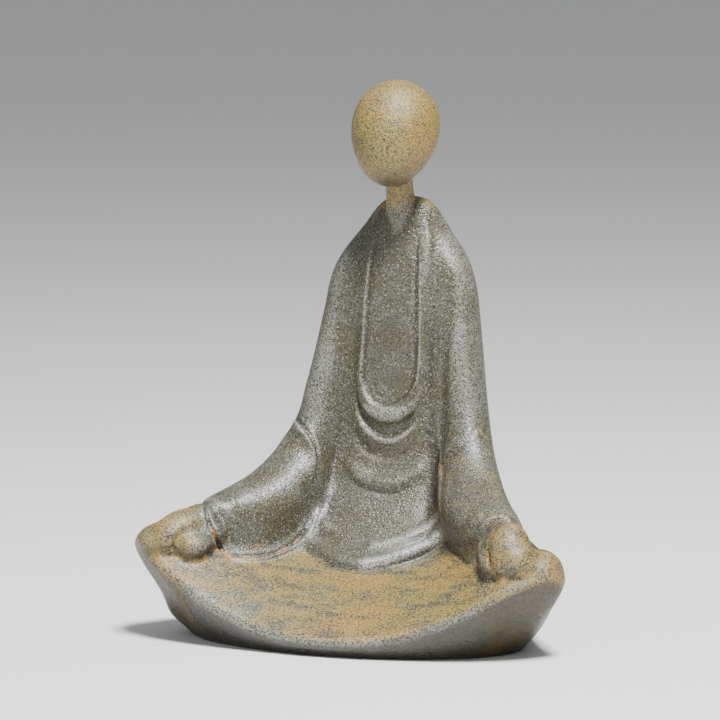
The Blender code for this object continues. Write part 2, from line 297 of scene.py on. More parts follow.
# The marks cut and raised in the clay, each with its shape: a ridge or groove, or a lip that steps
# up to the right of its line. Every row is across, forward, up, half width, height.
ROBE_MARKS = [
    (lip, [  # the neckline's right edge
        (-6.6, 1.6, 108, 0.6, 0), (-6.9, 3.9, 101.6, 0.7, 0.35), (-7.2, 5.4, 95.4, 0.7, 0.5),
        (-7.5, 7.3, 84.5, 0.7, 0.5), (-8.1, 8.0, 72.6, 0.7, 0.45), (-8.1, 8.8, 68, 0.7, 0.3),
        (-6.7, 9.6, 64.3, 0.7, 0.15), (-4.0, 9.8, 61.9, 0.7, 0),
    ]),
    (lip, [  # the neckline's left edge
        (2.8, 9.3, 62.1, 0.7, 0), (5.3, 8.9, 64.4, 0.7, 0.15), (6.9, 8.6, 67.5, 0.7, 0.3),
        (7.5, 7.9, 73.5, 0.8, 0.5), (7.4, 7.2, 85.9, 0.8, 0.55), (7.0, 5.5, 95.3, 0.8, 0.6),
        (6.6, 3.3, 103.6, 0.8, 0.5), (6.4, 1.9, 107.4, 0.7, 0.2),
    ]),
    (ridge, [  # the groove inside the neckline
        (-6.6, 1.6, 108, 0.8, 0), (-6.6, 3.9, 101.6, 0.8, -0.25), (-7.2, 7.3, 84.5, 0.8, -0.3),
        (-7.7, 8.0, 72.6, 0.8, -0.3), (-7.6, 8.8, 67.5, 0.8, -0.3), (-6.3, 9.6, 64, 0.8, -0.35),
        (-3.8, 9.8, 61.7, 0.8, -0.4), (-0.5, 9.8, 61.0, 0.8, -0.45), (2.8, 9.3, 61.9, 0.8, -0.4),
        (5.1, 8.9, 64.4, 0.8, -0.35), (6.6, 8.6, 67.5, 0.8, -0.35), (7.1, 7.9, 73.5, 0.8, -0.4),
        (7.0, 7.2, 85.9, 0.8, -0.4), (6.6, 5.5, 95.3, 0.8, -0.35), (6.2, 2.6, 105.6, 0.8, 0),
    ]),
    (ridge, [  # a raised fold beside the neck
        (7.6, 0.9, 112.5, 1.2, 0), (9.4, 2.6, 107.4, 1.5, 0.5), (9.3, 4.4, 101, 1.6, 0.55),
        (9, 6.2, 94, 1.4, 0),
    ]),
    (ridge, [  # the groove of the upper looped fold
        (-9.9, 8.4, 66, 0.7, 0), (-9.5, 8.9, 61.8, 0.8, -0.35), (-8.7, 9.5, 59.2, 0.9, -0.5),
        (-7.3, 10.1, 56.5, 1.0, -0.6), (-5.1, 10.7, 54.5, 1.0, -0.6), (-2.6, 11.1, 53.3, 1.0, -0.6),
        (0, 11.3, 52.9, 1.0, -0.6), (2.8, 11.0, 53.5, 1.0, -0.6), (5.0, 10.6, 54.9, 1.0, -0.55),
        (6.6, 10.1, 57.2, 0.9, -0.4), (8.0, 10.0, 60, 0.8, -0.2), (8.9, 9.4, 62.7, 0.8, 0),
    ]),
    (ridge, [  # the raised edge below that groove
        (-9.8, 8.9, 60.4, 0.7, 0), (-8.6, 9.8, 57.3, 0.8, 0.2), (-6.5, 10.8, 54.4, 0.9, 0.3),
        (-3.9, 11.6, 52.2, 1.0, 0.35), (0.3, 12.1, 50.9, 1.0, 0.4), (3.9, 11.7, 52.1, 1.0, 0.35),
        (6.3, 10.9, 54.2, 0.9, 0.2), (8.0, 10.0, 56.9, 0.8, 0),
    ]),
    (ridge, [  # the middle looped fold
        (-10.4, 9.8, 54.1, 1.2, 0), (-8.6, 10.8, 51, 1.4, -0.35), (-5.9, 11.7, 48.7, 1.6, -0.5),
        (-2.9, 12.2, 47.4, 1.7, -0.6), (0.4, 12.3, 47, 1.7, -0.6), (3.5, 12.1, 47.4, 1.7, -0.5),
        (6.2, 11.6, 49, 1.5, -0.35), (8.2, 10.8, 51.2, 1.2, 0),
    ]),
    (ridge, [  # the lower looped fold
        (-11.4, 13.7, 42.9, 1.0, 0), (-8.7, 15.5, 40.2, 1.2, -0.3), (-5.4, 16.6, 38.9, 1.3, -0.45),
        (-1.2, 17.1, 38.1, 1.4, -0.55), (2.9, 17.1, 37.7, 1.4, -0.55), (6.1, 16.5, 38.6, 1.3, -0.45),
        (8.7, 15.5, 40.3, 1.2, -0.3), (10.8, 14.1, 42.4, 1.0, 0),
    ]),
    (lip, [  # the left sleeve's front edge
        (14.4, 3.6, 96, 0.8, 0), (14.2, 4.4, 89.9, 0.8, 0.2), (14.3, 5.6, 79, 0.8, 0.3),
        (14.2, 6.1, 73.6, 0.8, 0.35), (14.4, 7.6, 62.7, 0.8, 0.4), (15.3, 10.2, 52, 0.7, 0.45),
        (17.8, 18.4, 45, 0.7, 0.5), (20.2, 26.2, 38.1, 0.7, 0.45), (21.2, 28.1, 34.3, 0.7, 0.35),
        (21.9, 28, 30.2, 0.7, 0),
    ]),
    (ridge, [  # the groove between the chest and the right sleeve
        (-13.7, 5.4, 80.7, 1.4, 0), (-13.7, 6.1, 72.5, 1.5, -0.35), (-14.2, 7.2, 65.6, 1.5, -0.5),
        (-14.1, 8.3, 58.5, 1.4, -0.6), (-14.6, 9.3, 54.1, 1.3, -0.6), (-14.7, 10.7, 49.3, 1.2, -0.6),
        (-15.0, 12.4, 45.3, 1.2, -0.5), (-15.1, 14.7, 40.6, 1.1, -0.35), (-15.7, 17, 37.1, 1.0, 0),
    ]),
]

HEM_MARKS = [
    (lip, [  # the upper band
        (-9.8, 26.5, 26.4, 1.2, 0), (-4.9, 28.1, 25.1, 1.3, 0.25), (-0.5, 28.3, 24.9, 1.3, 0.5),
        (3.7, 28.1, 25.1, 1.3, 0.75), (8.9, 26.6, 26.7, 1.3, 1.0), (13.6, 23.6, 29.2, 1.3, 1.15),
        (18.3, 22.2, 32.4, 1.2, 1.0), (20.6, 23, 33.8, 1.1, 0),
    ]),
    (lip, [  # the lower band
        (-13.1, 30, 23.4, 1.2, 0), (-8.8, 32.2, 21.8, 1.2, 0.25), (-4.1, 33.4, 21.2, 1.3, 0.45),
        (0.9, 33.6, 21.2, 1.4, 0.7), (5.7, 32.6, 22, 1.5, 0.95), (10.8, 30, 23.8, 1.5, 1.2),
        (15.6, 26.8, 26.2, 1.5, 1.3), (19.6, 25.2, 28.7, 1.3, 1.0), (21.6, 26, 29.6, 1.1, 0),
    ]),
    (ridge, [  # the crease where the hem meets the lap
        (-17, 30, 22.8, 0.7, 0), (-13.1, 31.8, 22, 0.7, -0.2), (-8.8, 34.5, 19.9, 0.7, -0.25),
        (-4.1, 35.6, 19.2, 0.7, -0.3), (0.9, 36, 19, 0.7, -0.35), (5.7, 35.1, 19.6, 0.7, -0.35),
        (10.8, 33.2, 21.2, 0.7, -0.35), (15.6, 30.2, 22.7, 0.7, -0.4), (20, 28, 25.4, 0.7, -0.45),
        (22.6, 27.8, 27.4, 0.8, -0.45), (23.6, 29, 26.4, 0.8, 0),
    ]),
]

RIGHT_SLEEVE_MARKS = [
    (lip, [  # the fold that hangs from the forearm
        (-27.2, 10.6, 56.4, 0.7, 0), (-26.0, 12.8, 56, 0.8, 0.6), (-24.2, 14.6, 55, 0.9, 0.85),
        (-22.3, 15.7, 53.5, 0.9, 0.95), (-20.6, 16.5, 51.8, 0.9, 0.9), (-19.6, 16.9, 50.2, 0.9, 0.8),
        (-18.7, 17.2, 48.6, 0.9, 0.65), (-18.2, 18.2, 46, 0.8, 0.5), (-18.0, 19.6, 43.4, 0.8, 0.4),
        (-18.3, 21.4, 40.9, 0.7, 0.25), (-18.7, 23.3, 38.4, 0.7, 0),
    ]),
    (ridge, [  # the groove above that fold
        (-27.2, 10.6, 56.4, 0.7, 0), (-25.6, 12.8, 56.3, 0.7, -0.5), (-23.8, 14.6, 55.4, 0.7, -0.6),
        (-21.9, 15.7, 53.9, 0.7, -0.6), (-20.2, 16.5, 52.2, 0.7, -0.55), (-18.2, 17.2, 48.8, 0.7, -0.35),
        (-17.8, 18.2, 46, 0.7, 0),
    ]),
    (ridge, [  # the rolled edge on the lap
        (-34, 44, 21.8, 0.6, 0), (-32.9, 43, 21.4, 0.7, 0.4), (-29.7, 40.6, 20.8, 0.7, 0.5),
        (-27.1, 38.4, 20.6, 0.7, 0.6), (-24.4, 35.5, 21.1, 0.7, 0.7), (-23.0, 33.6, 21.7, 0.7, 0.75),
        (-21.3, 31.0, 22.7, 0.7, 0.75), (-19.4, 28.4, 24.1, 0.7, 0.75), (-18, 27.2, 25.4, 0.7, 0.7),
        (-17.1, 25.4, 27.5, 0.7, 0.65), (-16.9, 23, 30, 0.7, 0.5), (-16.4, 20.6, 33.2, 0.7, 0),
    ]),
    (ridge, [  # the groove behind the rolled edge
        (-35.4, 42.8, 23.1, 0.6, 0), (-32.9, 41.7, 22.5, 0.6, -0.35), (-29.7, 39.4, 22, 0.6, -0.4),
        (-24.4, 34.3, 22.4, 0.6, -0.45), (-21.6, 30, 24.1, 0.6, -0.5), (-19.3, 26.8, 26.8, 0.6, -0.5),
        (-18.4, 22.8, 30.6, 0.6, 0),
    ]),
    # a small raised fold above the cuff
    (ridge, [(-36.4, 36.6, 38.2, 0.6, 0), (-35.6, 37.5, 37.4, 0.7, 0.35), (-34.4, 38.4, 36.2, 0.7, 0.3),
             (-33.4, 38.8, 35, 0.6, 0)]),
]

RIGHT_HAND_MARKS = [
    (lip, [  # the cuff's edge
        (-35.2, 42.5, 23.0, 0.8, 0), (-35.5, 42.5, 23.8, 0.8, 0.3), (-36.5, 42.3, 24.6, 0.8, 0.5),
        (-37, 43.2, 26, 0.8, 0.5), (-36.9, 45.6, 28, 0.7, 0.5), (-38.8, 45.2, 31, 0.7, 0.5),
        (-39.6, 44.5, 32.5, 0.7, 0.5), (-40.6, 43.5, 34.2, 0.7, 0.4), (-41.9, 41.7, 35.3, 0.6, 0),
    ]),
    (ridge, [  # the crack between the cuff and the hand
        (-41.9, 40.7, 35.7, 0.6, 0), (-41.2, 43, 34.4, 0.6, -0.5), (-40.2, 44.5, 32.6, 0.6, -0.7),
        (-39.3, 45.2, 31, 0.6, -0.8), (-38.2, 46.1, 29.4, 0.7, -1.0), (-37.5, 45.6, 27.8, 0.7, -1.1),
        (-37.5, 43.6, 25.9, 0.7, -1.1), (-36.9, 42.6, 24.4, 0.7, -0.8), (-36, 42.6, 23, 0.7, 0),
    ]),
    (ridge, [  # a raised line on the wrist
        (-42.9, 42.2, 35.8, 0.5, 0), (-42.1, 44.2, 34.6, 0.6, 0.35), (-41.3, 45, 33.4, 0.6, 0.4),
        (-40.6, 45.6, 31.8, 0.6, 0.35), (-39.6, 47, 29.9, 0.5, 0),
    ]),
    (ridge, [  # the crease below the fingers
        (-45.4, 54, 25.6, 0.7, 0), (-46.4, 53.8, 25.4, 0.7, -0.7), (-47.6, 54.6, 25.5, 0.7, -0.8),
        (-49.2, 54.4, 25.3, 0.7, -0.6), (-50.8, 54, 25.2, 0.6, 0),
    ]),
    (ridge, [  # the crease between the thumb and the fingers
        (-43.4, 51.2, 30.4, 0.8, 0), (-44.4, 52.4, 29.7, 0.8, -0.3), (-45.4, 53.6, 28.4, 0.8, -0.5),
        (-46.1, 54.2, 26.6, 0.8, -0.6), (-46.5, 53.6, 24.8, 0.8, -0.5), (-46.0, 52.8, 23.4, 0.8, 0),
    ]),
]

LEFT_SIDE_MARKS = [
    (ridge, [  # the crack between the cuff and the hand
        (37.0, 42.0, 31.4, 0.6, 0), (38.0, 40.8, 34.5, 0.6, -0.2), (38.9, 40.4, 35.6, 0.6, -0.45),
        (40.1, 39.8, 36.3, 0.6, -0.5), (42.0, 39.4, 36.2, 0.6, -0.55), (43.5, 39.0, 35.6, 0.6, -0.6),
        (46.3, 42.6, 35, 0.6, -0.65), (48.8, 45.5, 34, 0.7, -0.7), (50.6, 46.8, 32.7, 0.7, -0.75),
        (51.9, 46.6, 31.1, 0.8, -0.8), (53, 42, 31, 0.8, -0.6), (53.4, 37, 31, 0.8, 0),
    ]),
    (ridge, [  # a raised line on the wrist
        (38.3, 42.4, 33.4, 0.6, 0), (39.2, 42, 34.6, 0.7, 0.1), (42, 41.4, 35.3, 0.8, 0.35),
        (45.6, 44.4, 34.4, 0.8, 0.35), (48.2, 47, 33, 0.8, 0.3), (50.4, 48.2, 31, 0.7, 0),
    ]),
    (ridge, [  # the crease between the thumb and the fingers
        (40.8, 47.6, 31.4, 0.5, 0), (41.3, 49.2, 29.8, 0.5, -0.25), (41.9, 50.6, 28.4, 0.6, -0.5),
        (42.7, 51.9, 26.9, 0.7, -0.75), (43.4, 52.6, 25.1, 0.8, -0.9), (44.4, 52.4, 23.4, 0.8, -0.4),
        (45.4, 52.4, 22.8, 0.7, 0),
    ]),
    (ridge, [  # the crease where the sleeve meets the lap
        (22.0, 26.5, 29.0, 0.8, 0), (22.3, 28.3, 27.3, 0.8, -0.4), (24.2, 30.7, 25.9, 0.8, -0.5),
        (26.8, 33.6, 24.9, 0.8, -0.5), (29.3, 36.2, 24.1, 0.8, -0.5), (31.8, 38.9, 23.6, 0.8, -0.4),
        (34.0, 40.5, 24.0, 0.7, 0),
    ]),
    (ridge, [  # a faint fold inside the elbow
        (21.4, 18.6, 49.6, 0.8, 0), (22.6, 17.2, 51, 0.8, -0.15), (25.2, 14.6, 54.5, 0.8, -0.2),
        (26.4, 12.1, 56.4, 0.8, -0.15), (27.1, 8.9, 58.2, 0.8, 0),
    ]),
    (ridge, [  # a broad raised fold on the sleeve
        (35.5, 36.6, 38.2, 1.4, 0), (35.1, 37.7, 37, 1.6, 0.35), (33.8, 39.1, 34.8, 1.8, 0.5),
        (32.4, 38.9, 32.2, 1.8, 0.5), (30.7, 37.1, 29.2, 1.6, 0.35), (29.0, 35.1, 26.3, 1.4, 0),
    ]),
]

LAP_MARKS = [
    (ridge, [  # a crease down the front of the lap, below the right hand
        (-42.3, 57.4, 13, 0.6, 0), (-42.1, 56.9, 12.2, 0.7, -0.3), (-41.8, 55.6, 10.1, 0.7, -0.35),
        (-40.9, 54.2, 7.5, 0.6, -0.25), (-39.8, 52.5, 4.8, 0.6, 0),
    ]),
]

# In the order in which they are made
MARKS = ROBE_MARKS + HEM_MARKS + RIGHT_SLEEVE_MARKS + RIGHT_HAND_MARKS + LEFT_SIDE_MARKS + LAP_MARKS

# The edges long enough to show small waves: the neckline, the sides of the chest, the rolled edge
LONG_EDGES = [ROBE_MARKS[i] for i in (0, 1, 2, 8, 9)] + [RIGHT_SLEEVE_MARKS[2]]

# Small corrections of the outline and of the right sleeve's drape: centre, radius, move
NUDGES = [
    ((50, 36, 30), 7, (0, 0, -1.1)),
    ((-26.5, 9, 57), 9, (0.5, 0, -0.35)),
    ((-38.5, 36, 38.5), 6, (0, 0, -0.5)),
    ((-44, 41, 36), 4.5, (0, 0, 0.6)),
    ((9, -1, 116), 6, (0.5, 0, 0.4)),
    ((-53, 41, 13), 10, (0.8, 0, 0)),
    ((-49, 42, 5), 7.5, (-0.7, 0, 0)),
    ((59.5, 44, 19.5), 8, (0.6, 0, 0)),
    ((54.5, 42, 10), 7, (-0.5, 0, 0)),
    ((-28, 36, 24), 12, (-0.3, 1.5, -0.4)),
    ((-21.4, 26.4, 37), 10, (0, -0.9, 0)),
    ((-26.4, 33.4, 35), 10, (0, -1.0, 0)),
    ((-32, 38.4, 33.4), 9, (0, -0.8, 0)),
    ((60, 46.5, 24.4), 6, (-0.7, 0, 0)),
    ((55, 44.5, 29), 4, (0, 0, 0.5)),
    ((52.2, 47.4, 31), 3.5, (0, 0, -0.4)),
    ((6.2, -4, 116), 4, (0.5, 0, 0.3)),
]


def nudge(skin, centre, radius, move):
    """Presses a rounded part of the skin along, with its middle moving the most."""
    rows = layout(points_of(skin))
    share = 1 - ramp(np.linalg.norm(rows - centre, axis=1), 0.15 * radius, radius)
    set_points(skin, metres(rows + share[:, None] * move))


def ease_lines(skin, strokes, passes=14, reach=2.2):
    """Irons out the small waves beside the long edges of the robe."""
    points = layout(points_of(skin))
    share = np.zeros(len(points))
    for _, keys in strokes:
        for row in curve_rows(keys, 1.0):
            apart = ((points - row[:3])**2).sum(1)
            share = np.maximum(share, np.exp(-apart / reach**2))
    round_off(skin, passes, where=share, keep_size=False)


# Where forms melt into each other: centre, radius, passes
EASED_SPOTS = [
    ((-53, 49, 29), 8, 16),  # the right hand's fingers and the knee
    ((-10, 30, 25), 9, 8),  # the right end of the hem
    ((55.5, 47, 26), 8, 8),  # the left hand and the knee
    ((52.2, 51.4, 25.6), 5, 12),
    ((-40.4, 49.6, 29.4), 4.5, 10),  # the right hand's thumb and its palm
    ((-24, 29, 38.4), 10, 14),  # the face of the right sleeve
    ((-30, 34.5, 36.6), 9, 14),
]


def ease_spot(skin, centre, radius, passes):
    """Melts the forms within a rounded spot into each other."""
    apart = np.linalg.norm(layout(points_of(skin)) - centre, axis=1)
    round_off(skin, passes, where=1 - ramp(apart, 0.5 * radius, radius), keep_size=False)


def stand_flat(skin):
    """Nothing reaches below the ground, and the underside lies on it."""
    points = points_of(skin)
    under = (points[:, 2] < 0.5 * UNIT) & (normals_of(skin)[:, 2] < -0.8)
    points[:, 2] = np.where(under, 0, np.maximum(points[:, 2], 0))
    set_points(skin, points)


# ---------------------------------------------------------------- finish

# The edge of the robe and sleeves on the lap: how far forward it lies at each place across
LAP_EDGE = np.array([
    (-60, 40), (-50, 54), (-46, 53), (-40, 50), (-35, 43), (-30, 40.5), (-25, 36), (-21, 31), (-18, 29),
    (-13, 32), (-9, 34.7), (-4, 35.7), (1, 36), (6, 35.2), (11, 33.3), (16, 30.3), (20, 28), (24, 31),
    (29, 36), (34, 41), (39, 50), (44, 53), (52, 53), (60, 40),
])

# Where rust has run, and where highlights are painted pale along the edges: layer, curve, how wide and how
# strong
PAINTED_RUNS = [
    ("rust", [(17.6, 16, 47), (18.6, 19, 44.5), (20.6, 24, 39.5), (21.8, 27, 35)], 0.9, 0.75),
    ("rust", [(22.2, 27.4, 32), (22.6, 28.6, 28), (24.6, 31.2, 25.8), (28.5, 35.6, 23.8), (33.5, 40.6, 23)],
     1.1, 0.8),
    ("rust", [(13, 32.6, 21.4), (17, 30, 23), (21, 28.4, 25.8)], 0.8, 0.6),
    ("rust", [(-38, 45, 26.5), (-36.6, 43.4, 24), (-33.5, 42.8, 22.2)], 1.3, 0.8),
    ("rust", [(-22.6, 31.4, 24), (-20.6, 28.4, 25.6)], 0.8, 0.5),
    ("rust", [(37.8, 45, 22.6), (39.4, 49.4, 21.6)], 1.0, 0.6),
    ("rust", [(46, 54, 22.2), (50, 54.8, 22.8)], 0.9, 0.4),
    # painted highlights along the hem's bands, the right sleeve's rolled edge, the wrist, the neckline, the
    # fold beside the neck and the left sleeve's edge
    ("edge_highlight", [(3, 28.8, 25.2), (8.9, 27, 27), (13.6, 24, 29.6), (18.3, 22.4, 32.8)], 1.5, 0.9),
    ("edge_highlight", [(2, 34.6, 21.2), (5.7, 33.6, 22), (10.8, 31, 24), (15.6, 27.8, 26.4), (20, 26, 29)], 2.0, 1.0),
    ("edge_highlight", [(-32, 43, 21.2), (-24.4, 35.8, 20.9), (-19.4, 28.6, 23.9), (-17, 25.6, 27.4), (-16.7, 21, 33)],
     0.7, 0.9),
    ("edge_highlight", [(-42, 44.4, 34.6), (-40.6, 45.8, 31.8)], 0.6, 0.6),
    ("edge_highlight", [(-7.4, 9.5, 65.4), (-5.4, 10.6, 62.6), (-2, 11.6, 60.6), (1.6, 11.7, 60.4)], 0.9, 0.5),
    ("edge_highlight", [(9.4, 3, 107.4), (9.4, 4.8, 101), (9, 6.4, 95)], 1.1, 0.5),
    ("edge_highlight", [(17.2, 14, 47.6), (18.6, 19.4, 44), (20, 25.4, 38.6)], 0.5, 0.5),
]


def paint_weather_shade_and_highlights(skin):
    """Stores where the glaze took up ochre and rust, where shade is painted into the hollows and underneath,
    and where highlights are painted on the edges, for the finish to read.
    """
    points, normals, edges = points_of(skin), normals_of(skin), edges_of(skin)
    rows = layout(points)
    across, forward, up = rows.T
    rise = normals[:, 2]

    def sunk(passes):
        eased = points
        for _ in range(passes):
            eased = neighbour_mean(eased, edges)
        return ((eased - points) * normals).sum(1) / UNIT

    fine, broad = sunk(3), sunk(16)
    # painted shade: hollows and creases are marked to be darkened where shade would fall
    crease_shade = np.clip(np.maximum(fine / 0.09, broad / 0.45), 0, 1)
    crease = np.clip(fine / 0.07 - 0.15, 0, 1)

    beyond = forward - np.interp(across, LAP_EDGE[:, 0], LAP_EDGE[:, 1])
    lap = ramp(beyond, -0.5, 1.2) * ramp(rise, 0.25, 0.6) * (1 - ramp(up, 29, 32))
    head = ramp(up, 111, 117)
    sleeve = ramp(across, 14, 20) * (1 - ramp(up, 45, 75)) * (1 - ramp(forward, 20, 60) * 0.3)
    ochre = lap * (0.78 + 0.10 * ramp(across, -35, 40))
    ochre = np.maximum(ochre, 0.98 * head)
    ochre = np.maximum(ochre, 0.42 * sleeve)
    ochre = np.maximum(ochre, 0.80 * ramp(np.abs(across), 36, 44) * ramp(forward, 38, 46))

    # painted highlight: convex edges are made pale where the glaze would shine
    edge_highlight = 0.4 * np.clip(-fine / 0.08 - 0.35, 0, 1) * (1 - 0.9 * ochre)

    low = (1 - ramp(up, 34, 44)) * ramp(up, 14, 18)
    rust = 0.65 * crease * low * (1 - ramp(np.abs(beyond), 2, 5))
    seam = ramp(forward, 8, 14) * ramp(across, 14, 17) * (1 - ramp(across, 24, 30)) * (1 - ramp(up, 50, 60))
    rust = np.maximum(rust, 0.4 * crease * seam)

    # painted shade: down-facing surfaces, and the inner face of the left sleeve beside the chest, are
    # darkened towards near black
    inner_sleeve_shade = ramp(forward, 8, 14) * ramp(across, 14, 18) * (1 - ramp(across, 23, 32)) * (1 - ramp(up, 48, 60))
    painted_shade = np.maximum(ramp(-rise, -0.1, 0.42) * (1 - ramp(up, 20, 30)), 0.8 * ramp(-rise, 0.3, 0.8))
    painted_shade = np.maximum(painted_shade, 0.4 * inner_sleeve_shade * (1 - lap))

    layers = {"crease_shade": crease_shade, "edge_highlight": edge_highlight, "ochre": ochre, "rust": rust, "painted_shade": painted_shade}
    for name, run, width, amount in PAINTED_RUNS:
        for spot in curve_rows(run, 0.8):
            apart = ((rows - spot)**2).sum(1)
            layers[name] = np.maximum(layers[name], amount * np.exp(-apart / width**2))
    for name, values in layers.items():
        layer = skin.data.attributes.new(name, "FLOAT", "POINT")
        layer.data.foreach_set("value", np.clip(values, 0, 1).astype(np.float32))


class Finish:
    """A material whose node tree is put together a step at a time."""

    def __init__(self, name):
        self.material = bpy.data.materials.new(name)
        self.material.use_nodes = True
        self.tree = self.material.node_tree
        self.shader = self.tree.nodes["Principled BSDF"]
        self.place = self.tree.nodes.new("ShaderNodeTexCoord").outputs["Object"]

    def feed(self, socket, value):
        if isinstance(value, bpy.types.NodeSocket):
            self.tree.links.new(value, socket)
        else:
            socket.default_value = value

    def painted(self, name):
        node = self.tree.nodes.new("ShaderNodeAttribute")
        node.attribute_name = name
        return node.outputs["Fac"]

    def stretched(self, scale):
        node = self.tree.nodes.new("ShaderNodeMapping")
        node.inputs["Scale"].default_value = scale
        self.feed(node.inputs["Vector"], self.place)
        return node.outputs["Vector"]

    def noise(self, size, detail=2.0, stretch=(1, 1, 1)):
        """Cloudy noise with features about size units across."""
        node = self.tree.nodes.new("ShaderNodeTexNoise")
        self.feed(node.inputs["Vector"], self.stretched(stretch))
        node.inputs["Scale"].default_value = 1 / (size * UNIT)
        node.inputs["Detail"].default_value = detail
        return node.outputs["Fac"]

    def grains(self, size):
        """Round grains: how far each point is from the middle of its grain, and a tone for each grain."""
        node = self.tree.nodes.new("ShaderNodeTexVoronoi")
        self.feed(node.inputs["Vector"], self.place)
        node.inputs["Scale"].default_value = 1 / (size * UNIT)
        return node.outputs["Distance"], node.outputs["Color"]

    def sums(self, operation, a, b=0.0):
        node = self.tree.nodes.new("ShaderNodeMath")
        node.operation = operation
        self.feed(node.inputs[0], a)
        self.feed(node.inputs[1], b)
        return node.outputs["Value"]

    def step(self, value, low, high, start=0.0, end=1.0):
        node = self.tree.nodes.new("ShaderNodeMapRange")
        node.interpolation_type = "SMOOTHSTEP"
        for name, number in (("From Min", low), ("From Max", high), ("To Min", start), ("To Max", end)):
            node.inputs[name].default_value = number
        self.feed(node.inputs["Value"], value)
        return node.outputs["Result"]

    def blend(self, share, under, over):
        node = self.tree.nodes.new("ShaderNodeMix")
        node.data_type = "RGBA"
        self.feed(node.inputs["Factor"], share)
        self.feed(node.inputs["A"], under)
        self.feed(node.inputs["B"], over)
        return node.outputs["Result"]


# The colours of the glaze, from the robe's to those of its grains and pits, with the dark of its painted
# shade and the pale of its painted highlights
GREY, OLIVE = (0.098, 0.098, 0.072, 1), (0.080, 0.070, 0.034, 1)
OCHRE, ORANGE = (0.250, 0.176, 0.038, 1), (0.305, 0.178, 0.030, 1)
RUST, SHADE_COLOUR = (0.46, 0.245, 0.062, 1), (0.016, 0.014, 0.011, 1)
GLINT, PIT = (0.33, 0.34, 0.30, 1), (0.018, 0.016, 0.010, 1)
PALE_OCHRE, HIGHLIGHT_PALE = (0.35, 0.260, 0.092, 1), (0.62, 0.62, 0.57, 1)

# How large the features of the glaze are, in units of the layout
CLOUD_SIZE, PATCH_SIZE, DRIFT_SIZE, STREAK_SIZE = 14, 11, 5, 3.2
CRUMB_SIZE, GRAIN_SIZE, SAND_SIZE = 0.9, 0.58, 0.46


